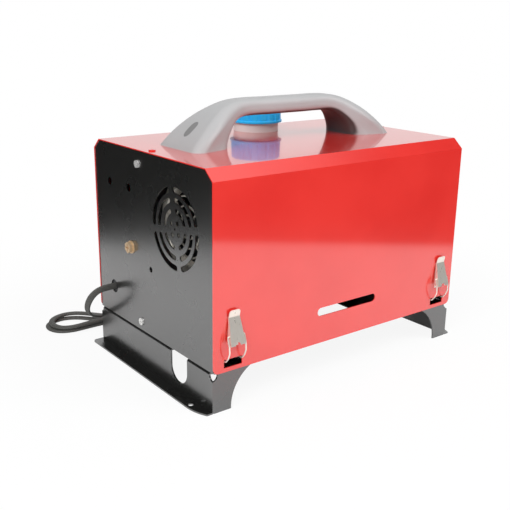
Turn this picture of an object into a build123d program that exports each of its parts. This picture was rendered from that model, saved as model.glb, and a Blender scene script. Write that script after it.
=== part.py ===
from build123d import *
import math
import os

# Portable diesel air heater in a folded sheet case, with its fuel tank on board.
# Millimetres, +Z up.  The floor is z = 0 and the case is centred on x = y = 0.
# The front is -Y, the cold-air end is -X and the warm-air end is +X.

os.makedirs("parts", exist_ok=True)

# ---------------------------------------------------------------- driving sizes
CASE_LENGTH = 400.0        # cover, along X
CASE_WIDTH = 271.0         # cover, along Y
CASE_TOP = 279.0           # top face above the floor
COVER_BOTTOM = 48.3        # lower edge of the cover above the floor
COVER_SHEET = 1.2
CHAMFER_Y = 14.0           # sloped long edges of the cover
CHAMFER_Z = 12.5
COVER_CORNER_R = 7.0

PLATE_SHEET = 1.5          # end plates
PLATE_INSET = 0.8          # the cover's end edge stands past the plate
PLATE_FLANGE = 16.0        # inward return flanges
FIT_GAP = 0.3              # between sheets that slide past each other
HOLE_GAP = 0.4             # radial, a fastener in a clearance hole
SEAT_GAP = 0.05            # radial, a fastener in its nut or boss

FOOT_SHEET = 2.0
FOOT_FLANGE = 15.5         # floor flange, out from the skirt
FOOT_TOP_FLANGE = 50.0
BEND_R = 0.8               # inside radius of a bend
PAN_SHEET = 1.2
PAN_WALL = 24.0            # upturned long edges of the pan

JACKET_R = 59.0            # heater jacket, outside
JACKET_WALL = 2.5
JACKET_LENGTH = 300.0
HEATER_FROM_FRONT = 77.1   # heater axis behind the cover's front face
HEATER_FROM_TOP = 79.8     # heater axis below the case top
HEATER_FROM_END = 20.0     # jacket mouth from the cold-air end
HEATER_FOOT_FROM_MOUTH = 112.0
HEATER_FOOT_LENGTH = 72.0
STAND_SHEET = 2.0          # the heater's stand on the pan
STAND_FROM_END = 55.0
STAND_HALF_Y = 46.0
STAND_FOOT = 24.0

GRILLE_RINGS = ((45.65, 7.0), (33.75, 6.2), (21.55, 5.7))   # (radius, slot width)
GRILLE_HOLE_R = 2.85
GRILLE_WEB = 8.0
GRILLE_TURN = 10.0                                 # degrees, anticlockwise seen from outside

CAP_X = 21.4
NECK_R = 27.0
NECK_WALL = 3.0
COLLAR_R = 31.1
COLLAR_HEIGHT = 12.0
CAP_R = 34.6
CAP_BRIM_R = 35.8
CAP_HEIGHT = 26.0
CAP_FLUTES = 18

TANK_WALL = 2.5
TANK_GAP = 3.7             # tank to the cover's back wall
TANK_FROM_LEFT = 100.0     # room for the fuel pump

LATCH_FROM_END = 27.0      # latch centre from each end of the cover
LEVER_PIVOT = (5.4, 85.5)  # (stand-off from the cover, height)
BAIL_PIVOT = (5.6, 92.5)
BAIL_WIRE_R = 0.9
BAIL_HALF_WIDTH = 11.2

OUTLET_HOSE_R = 45.0       # a 90 mm warm-air hose slides over the collar
OUTLET_WALL = 3.0
END_STAND_OFF = 14.0       # how far the fittings stand out of the warm-air end

CORD_D = 6.0               # round stand-in for the flat twin lead

# ---------------------------------------------------------------- shared places
HALF_L = CASE_LENGTH / 2
HALF_W = CASE_WIDTH / 2
PLATE_OUT = HALF_L - PLATE_INSET                 # outer face of each end plate
PLATE_IN = PLATE_OUT - PLATE_SHEET
FOOT_TOP = COVER_BOTTOM + 0.2                    # top of the foot brackets
PAN_TOP = FOOT_TOP + PAN_SHEET
INNER_Y = HALF_W - COVER_SHEET - FIT_GAP         # what fits just inside the cover
INNER_TOP = CASE_TOP - COVER_SHEET - FIT_GAP
HEATER_Y = -HALF_W + HEATER_FROM_FRONT
HEATER_Z = CASE_TOP - HEATER_FROM_TOP
JACKET_LEFT = -HALF_L + HEATER_FROM_END
JACKET_RIGHT = JACKET_LEFT + JACKET_LENGTH
PARTITION_Y = HEATER_Y + JACKET_R + 13.8         # front face of the partition
PARTITION_SCREW_Y = PARTITION_Y + 9.6
TANK_FRONT = PARTITION_Y + 17.6
TANK_BACK = HALF_W - COVER_SHEET - TANK_GAP
CAP_Y = (TANK_FRONT + TANK_BACK) / 2
LATCH_X = HALF_L - LATCH_FROM_END

FOOT_LEFT = JACKET_LEFT + HEATER_FOOT_FROM_MOUTH        # heater foot, where its ports are
FOOT_RIGHT = FOOT_LEFT + HEATER_FOOT_LENGTH
STAND_LEFT = FOOT_LEFT - 10
STAND_RIGHT = HALF_L - STAND_FROM_END
stand_screw_points = [
    (x, HEATER_Y + y)
    for x in (STAND_LEFT - STAND_FOOT / 2, STAND_RIGHT + STAND_FOOT / 2)
    for y in (8 - STAND_HALF_Y, STAND_HALF_Y - 8)
]


def save(builder, name):
    """Label a finished piece and write it under its own name."""
    builder.part.label = name
    export_step(builder.part, f"parts/{name}.step")


def case_outline(inset, bottom):
    """The cover's cross-section, moved inwards by inset and cut off at bottom."""
    slope = math.hypot(CHAMFER_Y, CHAMFER_Z)
    ny, nz = CHAMFER_Z / slope, CHAMFER_Y / slope
    reach = ny * HALF_W + nz * (CASE_TOP - CHAMFER_Z) - inset
    side, top = HALF_W - inset, CASE_TOP - inset
    shoulder = (reach - ny * side) / nz
    ridge = (reach - nz * top) / ny
    right = [(side, bottom), (side, shoulder), (ridge, top)]
    return right + [(-y, z) for y, z in reversed(right)]


STANDING = (Align.CENTER, Align.CENTER, Align.MIN)
HANGING = (Align.CENTER, Align.CENTER, Align.MAX)


def facing(point, direction):
    """A place at point whose own Z axis runs along direction."""
    return Plane(origin=point, z_dir=direction).location


def screw(place, head_r, head_height, shank_r, shank_length):
    """Add a cross-recessed pan-head screw, its head's underside at place."""
    with Locations(place):
        Cylinder(head_r, head_height, align=STANDING)
        Cylinder(shank_r, shank_length, align=HANGING)
    with Locations(place * Location((0, 0, head_height))):
        Box(1.2 * head_r, 0.22 * head_r, head_height, mode=Mode.SUBTRACT)
        Box(0.22 * head_r, 1.2 * head_r, head_height, mode=Mode.SUBTRACT)


def nut(place, bore_r, height):
    """Add a hexagon nut hanging below place, clear of the screw in its bore."""
    with BuildSketch(Plane(place)) as hexagon:
        RegularPolygon(2.0 * bore_r, 6)
        Circle(bore_r + SEAT_GAP, mode=Mode.SUBTRACT)
    extrude(hexagon.sketch, amount=-height)


# ================================================================ cover
SLOT_Z, SLOT_LENGTH, SLOT_HEIGHT = 88.8, 98.0, 10.5
SLOT_X = 2.0
WINDOW_WIDTH, WINDOW_LOW, WINDOW_HIGH = 25.0, 53.2, 63.1
COVER_SCREW_X, COVER_SCREW_Y, COVER_SCREW_R = HALF_L - 10.0, 4.0, 2.0
HANDLE_BOLT_X, HANDLE_BOLT_R = 138.5, 3.0

with BuildPart() as cover:
    with BuildSketch(Plane.YZ.offset(-HALF_L)):
        with BuildLine():
            Polyline(*case_outline(0, COVER_BOTTOM), close=True)
        make_face()
        with BuildLine():
            Polyline(*case_outline(COVER_SHEET, COVER_BOTTOM - 1), close=True)
        make_face(mode=Mode.SUBTRACT)
    extrude(amount=CASE_LENGTH)
    fillet(
        cover.edges().filter_by(Axis.Y).group_by(Axis.Z)[0],
        radius=COVER_CORNER_R,
    )
    with BuildSketch(Plane.XZ.offset(HALF_W + 1)) as front_openings:
        with Locations((SLOT_X, SLOT_Z)):
            SlotOverall(SLOT_LENGTH, SLOT_HEIGHT)
    extrude(amount=-COVER_SHEET - 2, mode=Mode.SUBTRACT)
    with BuildSketch(Plane.XZ.offset(HALF_W + 1)) as latch_windows:
        with Locations(*[(s * LATCH_X, (WINDOW_LOW + WINDOW_HIGH) / 2) for s in (-1, 1)]):
            Rectangle(WINDOW_WIDTH, WINDOW_HIGH - WINDOW_LOW)
    extrude(amount=-CASE_WIDTH - 2, mode=Mode.SUBTRACT)
    with BuildSketch(Plane.XY.offset(CASE_TOP + 1)) as top_openings:
        with Locations((CAP_X, CAP_Y)):
            Circle(NECK_R + 1.5)
        with Locations(*[(s * COVER_SCREW_X, COVER_SCREW_Y) for s in (-1, 1)]):
            Circle(COVER_SCREW_R + HOLE_GAP)
        with Locations(*[(s * HANDLE_BOLT_X, 0) for s in (-1, 1)]):
            Circle(HANDLE_BOLT_R + HOLE_GAP)
    extrude(amount=-COVER_SHEET - 2, mode=Mode.SUBTRACT)
save(cover, "cover")

with BuildPart() as cover_screws:
    for side in (-1, 1):
        screw(facing((side * COVER_SCREW_X, COVER_SCREW_Y, CASE_TOP), (0, 0, 1)), 4.2, 1.6, COVER_SCREW_R, 8)
save(cover_screws, "cover_screws")

# ================================================================ base pan
PAN_OPENING_X, PAN_OPENING_Y = 140.0, 80.0
PAN_OPENING_CENTRE_Y = HEATER_Y - 1.6
HOOK_SLOT_LOW, HOOK_SLOT_HIGH, HOOK_SLOT_WIDTH = 51.6, 62.4, 28.0
BASE_SCREW_X, BASE_SCREW_Y, BASE_SCREW_R = HALF_L - 10.0, 105.0, 2.5
FLANGE_TOP = PAN_TOP + PLATE_SHEET
base_screw_points = [(x, y) for x in (-BASE_SCREW_X, BASE_SCREW_X) for y in (-BASE_SCREW_Y, BASE_SCREW_Y)]

with BuildPart() as base_pan:
    with BuildSketch(Plane.XY.offset(FOOT_TOP)):
        Rectangle(2 * (PLATE_IN - 0.2), 2 * INNER_Y)
        with Locations((0, PAN_OPENING_CENTRE_Y)):
            RectangleRounded(PAN_OPENING_X, PAN_OPENING_Y, 4, mode=Mode.SUBTRACT)
        with Locations(*base_screw_points, *stand_screw_points):
            Circle(BASE_SCREW_R + HOLE_GAP, mode=Mode.SUBTRACT)
    extrude(amount=PAN_SHEET)
    for side in (-1, 1):
        with Locations((0, side * (INNER_Y - PAN_SHEET / 2), FOOT_TOP)):
            Box(2 * (PLATE_IN - 0.2), PAN_SHEET, PAN_WALL, align=STANDING)
    with Locations(*[(s * LATCH_X, 0, (HOOK_SLOT_LOW + HOOK_SLOT_HIGH) / 2) for s in (-1, 1)]):
        Box(HOOK_SLOT_WIDTH, CASE_WIDTH, HOOK_SLOT_HIGH - HOOK_SLOT_LOW, mode=Mode.SUBTRACT)
save(base_pan, "base_pan")

# ================================================================ foot brackets
NOTCH_Y, NOTCH_R, NOTCH_BOTTOM = -63.5, 17.7, 11.7
WING_ARC_R, WING_ARC_X = 51.5, HALF_L - 77.1
FLOOR_HOLE_Y, FLOOR_HOLE_R = 102.5, 3.25
FLOOR_HOLE_X = HALF_L + 9.0
FRONT_CORNER_R, CORNER_REACH = 62.6, 31.0          # the rounding starts this far back
REAR_CORNER_R = 5.0
FRONT_RELIEF_R, REAR_RELIEF_R = 7.0, 4.5


def wing_edge(z):
    """A point of the wing's hollow edge at a height; its circle's centre is just above the floor."""
    return (WING_ARC_X + math.sqrt(WING_ARC_R**2 - (z - FOOT_SHEET) ** 2), z)


def foot_bracket(side):
    """One folded end foot: skirt, floor flange, top flange and two wings."""
    out, inner = HALF_L, HALF_L - FOOT_SHEET
    with BuildPart() as foot:
        with BuildSketch(Plane.XZ.offset(-INNER_Y)) as section:
            with BuildLine():
                Polyline(
                    (out + FOOT_FLANGE, 0), (inner, 0), (inner, FOOT_TOP - FOOT_SHEET),
                    (out - FOOT_TOP_FLANGE, FOOT_TOP - FOOT_SHEET), (out - FOOT_TOP_FLANGE, FOOT_TOP),
                    (out, FOOT_TOP), (out, FOOT_SHEET), (out + FOOT_FLANGE, FOOT_SHEET), close=True,
                )
            make_face()
            bends = [v for v in section.vertices() if (v.X, v.Y) in ((inner, 0), (out, FOOT_TOP))]
            fillet(bends, BEND_R + FOOT_SHEET - 0.1)
        extrude(amount=2 * INNER_Y)
        for face_y, thickness in ((-INNER_Y, FOOT_SHEET), (INNER_Y, -FOOT_SHEET)):
            with BuildSketch(Plane.XZ.offset(-face_y)):
                with BuildLine():
                    low, middle, high = [wing_edge(z) for z in (0, FOOT_TOP / 2, FOOT_TOP)]
                    Line((inner, 0), low)
                    ThreePointArc(low, middle, high)
                    Polyline(high, (inner, FOOT_TOP), (inner, 0))
                make_face()
            extrude(amount=-thickness)
        with BuildSketch(Plane.XY):
            tip = HALF_L + FOOT_FLANGE
            with BuildLine():
                start, middle, end = [
                    (
                        tip - FRONT_CORNER_R + math.sqrt(FRONT_CORNER_R**2 - back**2),
                        CORNER_REACH - INNER_Y - back,
                    )
                    for back in (0, CORNER_REACH / 2, CORNER_REACH)
                ]
                ThreePointArc(start, middle, end)
                Polyline(end, (tip + 1, -INNER_Y), (tip + 1, CORNER_REACH - INNER_Y), start)
            make_face()
        extrude(amount=FOOT_SHEET + 1, mode=Mode.SUBTRACT)
        with Locations((out, NOTCH_Y, NOTCH_BOTTOM + NOTCH_R)):
            Box(20, 2 * NOTCH_R, FOOT_TOP, align=STANDING, mode=Mode.SUBTRACT)
            Cylinder(NOTCH_R, 20, rotation=(0, 90, 0), mode=Mode.SUBTRACT)
        fillet(foot.edges().filter_by(Axis.Z).sort_by_distance((tip, INNER_Y, 0))[0], REAR_CORNER_R)
        with Locations((FLOOR_HOLE_X, -FLOOR_HOLE_Y, 0)):
            Cylinder(FLOOR_HOLE_R, 3 * FOOT_SHEET, mode=Mode.SUBTRACT)
        for face_y, radius in ((-INNER_Y, FRONT_RELIEF_R), (INNER_Y, REAR_RELIEF_R)):
            with Locations((out, face_y, FOOT_TOP - FOOT_SHEET)):
                Sphere(radius, mode=Mode.SUBTRACT)
        with Locations(*[(BASE_SCREW_X, s * BASE_SCREW_Y, FOOT_TOP) for s in (-1, 1)]):
            Cylinder(BASE_SCREW_R + HOLE_GAP, 3 * FOOT_SHEET, mode=Mode.SUBTRACT)
        if side < 0:
            mirror(about=Plane.YZ, mode=Mode.REPLACE)
        else:
            with Locations(*[(x, y, FOOT_TOP) for x, y in stand_screw_points if x > out - FOOT_TOP_FLANGE]):
                Cylinder(BASE_SCREW_R + HOLE_GAP, 3 * FOOT_SHEET, mode=Mode.SUBTRACT)
    return foot


foot_bracket_left = foot_bracket(-1)
foot_bracket_right = foot_bracket(1)
save(foot_bracket_left, "foot_bracket_left")
save(foot_bracket_right, "foot_bracket_right")

# ================================================================ end plates
PLATE_SCREW_Z = (61.3, CASE_TOP - 17.4)
PLATE_SCREW_R = 2.4
CORD_HOLE = (94.6, 88.6, 8.75)                    # (y, z, radius)
PUMP_Y = 51.5
PUMP_BOLT_Y, PUMP_BOLT_Z, PUMP_BOLT_R = 45.2, 153.8, 4.0
PUMP_BOLT_WASHER, PUMP_BOLT_HEAD = 1.2, 4.6
SPARE_HOLES = ((96.8, 228.7, 5.0), (47.6, 228.4, 5.0), (-2.0, 136.5, 3.5))
SIDE_FLANGE = 9.0
PANEL_Z, PANEL_WIDTH, PANEL_HEIGHT = 200.0, 88.0, 68.0
PARTITION_SHEET = 1.2
PARTITION_FLANGE = 18.0
PANEL_Y = (PARTITION_Y + PARTITION_FLANGE + INNER_Y) / 2
OUTLET_FLANGE_R = 56.0
OUTLET_SCREW_CIRCLE = 50.5
outlet_screw_points = [
    (
        HEATER_Y + OUTLET_SCREW_CIRCLE * math.cos(math.radians(angle)),
        HEATER_Z + OUTLET_SCREW_CIRCLE * math.sin(math.radians(angle)),
    )
    for angle in (45, 135, 225, 315)
]


def end_plate(side):
    """One end plate with its return flanges; side is -1 for the cold-air end."""
    with BuildPart() as plate:
        with BuildSketch(Plane.YZ.offset(PLATE_IN)):
            with BuildLine():
                Polyline(*case_outline(COVER_SHEET + FIT_GAP, PAN_TOP), close=True)
            make_face()
        extrude(amount=PLATE_SHEET)
        top = (PLATE_IN, 0, INNER_TOP)
        with Locations(top):
            Box(PLATE_FLANGE, 190, PLATE_SHEET, align=(Align.MAX, Align.CENTER, Align.MAX))
        with Locations((PLATE_IN, 0, PAN_TOP)):
            Box(
                PLATE_FLANGE, 2 * BASE_SCREW_Y + 20, PLATE_SHEET,
                align=(Align.MAX, Align.CENTER, Align.MIN),
            )
        for flip in (-1, 1):
            with Locations((PLATE_IN, flip * (INNER_Y - PLATE_SHEET / 2), PAN_TOP + PAN_WALL + 6)):
                Box(
                    SIDE_FLANGE, PLATE_SHEET, CASE_TOP - CHAMFER_Z - PAN_TOP - PAN_WALL - 20,
                    align=(Align.MAX, Align.CENTER, Align.MIN),
                )
        with Locations(*[(PLATE_OUT, PARTITION_SCREW_Y, z) for z in PLATE_SCREW_Z]):
            Cylinder(PLATE_SCREW_R + HOLE_GAP, 8, rotation=(0, 90, 0), mode=Mode.SUBTRACT)
        with Locations(*[(BASE_SCREW_X, s * BASE_SCREW_Y, FLANGE_TOP) for s in (-1, 1)]):
            Cylinder(BASE_SCREW_R + HOLE_GAP, 4, mode=Mode.SUBTRACT)
        with Locations((COVER_SCREW_X, COVER_SCREW_Y, INNER_TOP)):
            Cylinder(COVER_SCREW_R + SEAT_GAP, 6, mode=Mode.SUBTRACT)
        if side < 0:
            mirror(about=Plane.YZ, mode=Mode.REPLACE)
            cut_grille()
            with BuildSketch(Plane.YZ.offset(-PLATE_OUT - 1)):
                bolt_hole = (PUMP_BOLT_Y, PUMP_BOLT_Z, PUMP_BOLT_R + HOLE_GAP)
                for y, z, radius in (CORD_HOLE, *SPARE_HOLES, bolt_hole):
                    with Locations((y, z)):
                        Circle(radius)
            extrude(amount=PLATE_SHEET + 2, mode=Mode.SUBTRACT)
        else:
            with BuildSketch(Plane.YZ.offset(PLATE_OUT + 1)):
                with Locations((HEATER_Y, HEATER_Z)):
                    Circle(OUTLET_HOSE_R + 0.3)
                with Locations(*outlet_screw_points):
                    Circle(1.5 + HOLE_GAP)
                with Locations((PANEL_Y, PANEL_Z)):
                    RectangleRounded(PANEL_WIDTH - 12, PANEL_HEIGHT - 12, 3)
            extrude(amount=-PLATE_SHEET - 2, mode=Mode.SUBTRACT)
    return plate


def ring_slots(ring, slot):
    """The four arc slots of one ring, with round ends either side of the webs."""
    web = GRILLE_WEB + slot
    clear = math.degrees(math.asin(web / 2 / ring))
    with BuildSketch() as slots:
        Circle(ring + slot / 2)
        Circle(ring - slot / 2, mode=Mode.SUBTRACT)
        for size in ((3 * ring, web), (web, 3 * ring)):
            Rectangle(*size, rotation=-GRILLE_TURN, mode=Mode.SUBTRACT)
        for end in (clear, -clear):
            with PolarLocations(ring, 4, start_angle=end - GRILLE_TURN):
                Circle(slot / 2)
    return slots.sketch


grille_slots = [ring_slots(ring, slot) for ring, slot in GRILLE_RINGS]


def cut_grille():
    """Cut the rings of arc slots and the holes round the centre."""
    with BuildSketch(Plane.YZ.offset(-PLATE_OUT - 1)) as grille:
        with Locations((HEATER_Y, HEATER_Z)):
            for slots in grille_slots:
                add(slots)
            Circle(1.7)
            with PolarLocations(9.25, 4, start_angle=45 - GRILLE_TURN):
                Circle(GRILLE_HOLE_R)
    extrude(grille.sketch, amount=PLATE_SHEET + 2, mode=Mode.SUBTRACT)


end_plate_left = end_plate(-1)
end_plate_right = end_plate(1)
save(end_plate_left, "end_plate_left")
save(end_plate_right, "end_plate_right")

# ================================================================ partition
PARTITION_TOP = INNER_TOP - PLATE_SHEET - 1.0
PARTITION_FOOT = FLANGE_TOP + FIT_GAP
WIRE_HOLE = (-120.0, 90.0, 12.0)                   # (x, z, radius)
CLINCH_DEPTH = 4.0                                 # the pressed nuts behind the partition flange

with BuildPart() as partition:
    with Locations((0, PARTITION_Y, PARTITION_FOOT)):
        Box(
            2 * (PLATE_IN - 0.1), PARTITION_SHEET, PARTITION_TOP - PARTITION_FOOT,
            align=(Align.CENTER, Align.MIN, Align.MIN),
        )
    for side in (-1, 1):
        with Locations((side * (PLATE_IN - 0.1 - PARTITION_SHEET / 2), PARTITION_Y, PARTITION_FOOT)):
            Box(
                PARTITION_SHEET, PARTITION_FLANGE, PARTITION_TOP - PARTITION_FOOT,
                align=(Align.CENTER, Align.MIN, Align.MIN),
            )
        for z in PLATE_SCREW_Z:
            with Locations(facing((side * (PLATE_IN - 0.1), PARTITION_SCREW_Y, z), (-side, 0, 0))):
                Cylinder(4.8, PARTITION_SHEET + CLINCH_DEPTH, align=STANDING)
    for z in PLATE_SCREW_Z:
        with Locations((0, PARTITION_SCREW_Y, z)):
            Cylinder(PLATE_SCREW_R + SEAT_GAP, CASE_LENGTH, rotation=(0, 90, 0), mode=Mode.SUBTRACT)
    with Locations((WIRE_HOLE[0], PARTITION_Y, WIRE_HOLE[1])):
        Cylinder(WIRE_HOLE[2], 8, rotation=(90, 0, 0), mode=Mode.SUBTRACT)
save(partition, "partition")

with BuildPart() as case_screws:
    for side in (-1, 1):
        for z in PLATE_SCREW_Z:
            place = facing((side * PLATE_OUT, PARTITION_SCREW_Y, z), (side, 0, 0))
            screw(place, 4.6, 2.0, PLATE_SCREW_R, 7.5)
    for x, y in base_screw_points:
        screw(facing((x, y, FLANGE_TOP), (0, 0, 1)), 4.5, 2.6, BASE_SCREW_R, 10)
        nut(facing((x, y, FOOT_TOP - FOOT_SHEET), (0, 0, 1)), BASE_SCREW_R, 4)
    for x, y in stand_screw_points:
        on_foot = x > HALF_L - FOOT_TOP_FLANGE
        screw(facing((x, y, PAN_TOP + STAND_SHEET), (0, 0, 1)), 4.5, 2.6, BASE_SCREW_R, 10)
        nut(facing((x, y, FOOT_TOP - (FOOT_SHEET if on_foot else 0)), (0, 0, 1)), BASE_SCREW_R, 4)
save(case_screws, "case_screws")

# ================================================================ carrying handle
HANDLE_ARCH_X, HANDLE_ARCH_Z, HANDLE_ARCH_R = 64.3, -2.3, 36.0   # the arch inside one leg
# The outside of a leg every 15 degrees up that arch: its place and height, its half width
# there and at the inside, and the radius of its outer corners.
HANDLE_LEG = (
    (160.5, 0.0, 47.5, 32.0, 12.5), (151.5, 10.3, 46.5, 29.0, 12.5), (137.5, 23.0, 43.5, 26.0, 12.0),
    (119.5, 36.6, 36.0, 22.5, 11.5), (101.0, 46.6, 27.0, 18.8, 10.5), (82.0, 52.8, 19.8, 16.6, 9.6),
    (64.3, 54.6, 16.0, 15.8, 9.2),
)
HANDLE_TOP, HANDLE_HALF_WIDTH = 54.7, 15.5
HANDLE_ROUNDING = 0.80                             # inner corner radius over half the thickness
HANDLE_BORE = (18.8, 12.0)
HANDLE_SEAT = 7.0                                  # bolt head seat above the cover


def handle_sections():
    """Inner edge, outer edge, half widths and outer corner of each section of the leg at +X."""
    sections = []
    for index, (outer_x, outer_z, *widths) in enumerate(HANDLE_LEG):
        angle = math.pi / 2 * index / (len(HANDLE_LEG) - 1)
        inner_x = HANDLE_ARCH_X + HANDLE_ARCH_R * math.cos(angle)
        inner_z = max(HANDLE_ARCH_Z + HANDLE_ARCH_R * math.sin(angle), 0)
        sections.append((inner_x, inner_z, outer_x, outer_z, *widths))
    under = HANDLE_ARCH_Z + HANDLE_ARCH_R
    widths = (HANDLE_HALF_WIDTH, HANDLE_HALF_WIDTH, HANDLE_LEG[-1][-1])
    return sections + [(x, under, x, HANDLE_TOP, *widths) for x in (HANDLE_ARCH_X / 2, 0)]


def handle_face(side, inner_x, inner_z, outer_x, outer_z, outer_half, inner_half, corner):
    """One rounded section, square to the handle's run at the leg on this side."""
    rise_x, rise_z = side * (outer_x - inner_x), outer_z - inner_z
    thickness = math.hypot(rise_x, rise_z)
    middle = (side * (inner_x + outer_x) / 2, 0, CASE_TOP + (inner_z + outer_z) / 2)
    low, high = -thickness / 2, thickness / 2
    with BuildSketch(Plane(origin=middle, x_dir=(0, 1, 0), z_dir=(rise_z, 0, -rise_x))) as across:
        with BuildLine():
            Polyline(
                (-inner_half, low), (inner_half, low), (outer_half, high), (-outer_half, high),
                close=True,
            )
        make_face()
        fillet(across.vertices().sort_by(Axis.Y)[-2:], corner)
        fillet(across.vertices().sort_by(Axis.Y)[:2], min(inner_half, high) * HANDLE_ROUNDING)
    return across.sketch.face()


def handle_bores(inset):
    """The two oblong bores over the bolts, or the plugs that fill them with an inset."""
    with BuildSketch() as bores:
        with Locations(*[(s * HANDLE_BOLT_X, 0) for s in (-1, 1)]):
            SlotOverall(HANDLE_BORE[0] - 2 * inset, HANDLE_BORE[1] - 2 * inset)
    return bores.sketch


with BuildPart() as handle_form:
    left = [handle_face(-1, *section) for section in handle_sections()]
    right = [handle_face(1, *section) for section in reversed(handle_sections()[:-1])]
    loft(left + right)

with BuildPart() as handle:
    add(handle_form.part)
    with Locations(*[(s * HANDLE_BOLT_X, 0, CASE_TOP) for s in (-1, 1)]):
        Cylinder(HANDLE_BOLT_R + HOLE_GAP, 40, mode=Mode.SUBTRACT)
    extrude(handle_bores(0).moved(Location((0, 0, CASE_TOP + HANDLE_SEAT))), amount=60, mode=Mode.SUBTRACT)
save(handle, "handle")

with BuildPart() as handle_plugs:
    extrude(handle_bores(SEAT_GAP).moved(Location((0, 0, CASE_TOP + HANDLE_SEAT + 4.4))), amount=60)
    add(handle_form.part, mode=Mode.INTERSECT)
save(handle_plugs, "handle_plugs")

with BuildPart() as handle_bolts:
    for side in (-1, 1):
        seat = facing((side * HANDLE_BOLT_X, 0, CASE_TOP + HANDLE_SEAT), (0, 0, 1))
        screw(seat, 5.6, 4.0, HANDLE_BOLT_R, 16)
        nut(facing((side * HANDLE_BOLT_X, 0, CASE_TOP - COVER_SHEET), (0, 0, 1)), HANDLE_BOLT_R, 5)
save(handle_bolts, "handle_bolts")

# ================================================================ toggle latches
LEVER_BOTTOM = (10.5, 81.9)                        # (stand-off, height)
LEVER_BEND = (2.1, 113.4)
LEVER_TIP = (3.9, 122.0)
LEVER_HALF_WIDTH, LEVER_TOP_HALF_WIDTH, LEVER_SHEET = 9.6, 7.4, 1.0
LEVER_NOTCH_R = 3.5
PIVOT_PIN_R = 1.25
EAR_R, EAR_X, EAR_SHEET = 2.6, 6.2, 1.2
LATCH_PLATE_SHEET = 0.8
HOOK_Z, HOOK_RISE, HOOK_DEPTH = 60.6, 2.4, 4.6
BAIL_BOW = ((8.8, 82.5), (9.2, 73.5), (6.2, 66.6), (1.6, HOOK_Z + 0.6))
LATCH_RIVETS_Z = (97.0, 105.0)
CORNERS = {"front_left": (-1, -1), "front_right": (1, -1), "back_left": (-1, 1), "back_right": (1, 1)}


def latch_plane(end, face, across=0.0):
    """A plane across one latch: its X is the stand-off and its Y the height."""
    origin = (end * LATCH_X + across, face * HALF_W, 0)
    return Plane(origin=origin, x_dir=(0, face, 0), z_dir=(face, 0, 0))


def latch_point(end, face, across, stand_off, height):
    """A point of one latch in the part's own frame."""
    return (end * LATCH_X + across, face * (HALF_W + stand_off), height)


with BuildPart() as latch_bases:
    for end, face in CORNERS.values():
        with Locations(latch_point(end, face, 0, LATCH_PLATE_SHEET / 2, 94)):
            Box(13, LATCH_PLATE_SHEET, 32)
        for ear in (-EAR_X, EAR_X):
            with BuildSketch(latch_plane(end, face, ear)):
                with Locations(LEVER_PIVOT):
                    Circle(EAR_R)
                with Locations((LEVER_PIVOT[0] / 2, LEVER_PIVOT[1])):
                    Rectangle(LEVER_PIVOT[0], 2 * EAR_R)
            extrude(amount=EAR_SHEET / 2, both=True)
        with Locations(latch_point(end, face, 0, *LEVER_PIVOT)):
            Cylinder(PIVOT_PIN_R, 2 * LEVER_HALF_WIDTH + 0.6, rotation=(0, 90, 0))
        for height in LATCH_RIVETS_Z:
            with Locations(facing(latch_point(end, face, 0, LATCH_PLATE_SHEET, height), (0, face, 0))):
                Cylinder(2.4, 0.7, align=STANDING)
save(latch_bases, "latch_bases")


def web_at(height, inset=0.0):
    """Stand-off of the lever's web at a height, inset measured square to it."""
    run, rise = LEVER_BEND[0] - LEVER_BOTTOM[0], LEVER_BEND[1] - LEVER_BOTTOM[1]
    return LEVER_BOTTOM[0] + (height - LEVER_BOTTOM[1]) * run / rise - inset * math.hypot(run, rise) / rise


def lever_form(end, face, inset):
    """What the lever's outside fills (inset 0) or its hollow (inset of one sheet)."""
    low, high = LEVER_BOTTOM[1], LEVER_BEND[1]
    if inset:
        bottom, top = low - 9, high - 1
        side_view = [(web_at(bottom, inset), bottom), (web_at(top, inset), top), (-6, top), (-6, bottom)]
    else:
        side_view = [
            LEVER_BOTTOM, LEVER_BEND, (web_at(high, 1.7), high), (1.9, high - 8),
            (2.1, 90), (2.9, low + 1.3), (4.2, low),
        ]
    wide, narrow = LEVER_HALF_WIDTH - inset, LEVER_TOP_HALF_WIDTH - inset
    with BuildPart() as form:
        with BuildSketch(latch_plane(end, face)) as side:
            with BuildLine():
                Polyline(*side_view, close=True)
            make_face()
        extrude(side.sketch, amount=LEVER_HALF_WIDTH + 1, both=True)
        front_plane = Plane(origin=latch_point(end, face, 0, 0, 0), x_dir=(1, 0, 0), z_dir=(0, -1, 0))
        with BuildSketch(front_plane) as front:
            with BuildLine():
                Polyline(
                    (-wide, low - 10), (-wide, low + 6), (-narrow, high),
                    (narrow, high), (wide, low + 6), (wide, low - 10), close=True,
                )
            make_face()
        extrude(front.sketch, amount=20, both=True, mode=Mode.INTERSECT)
    return form


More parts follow.
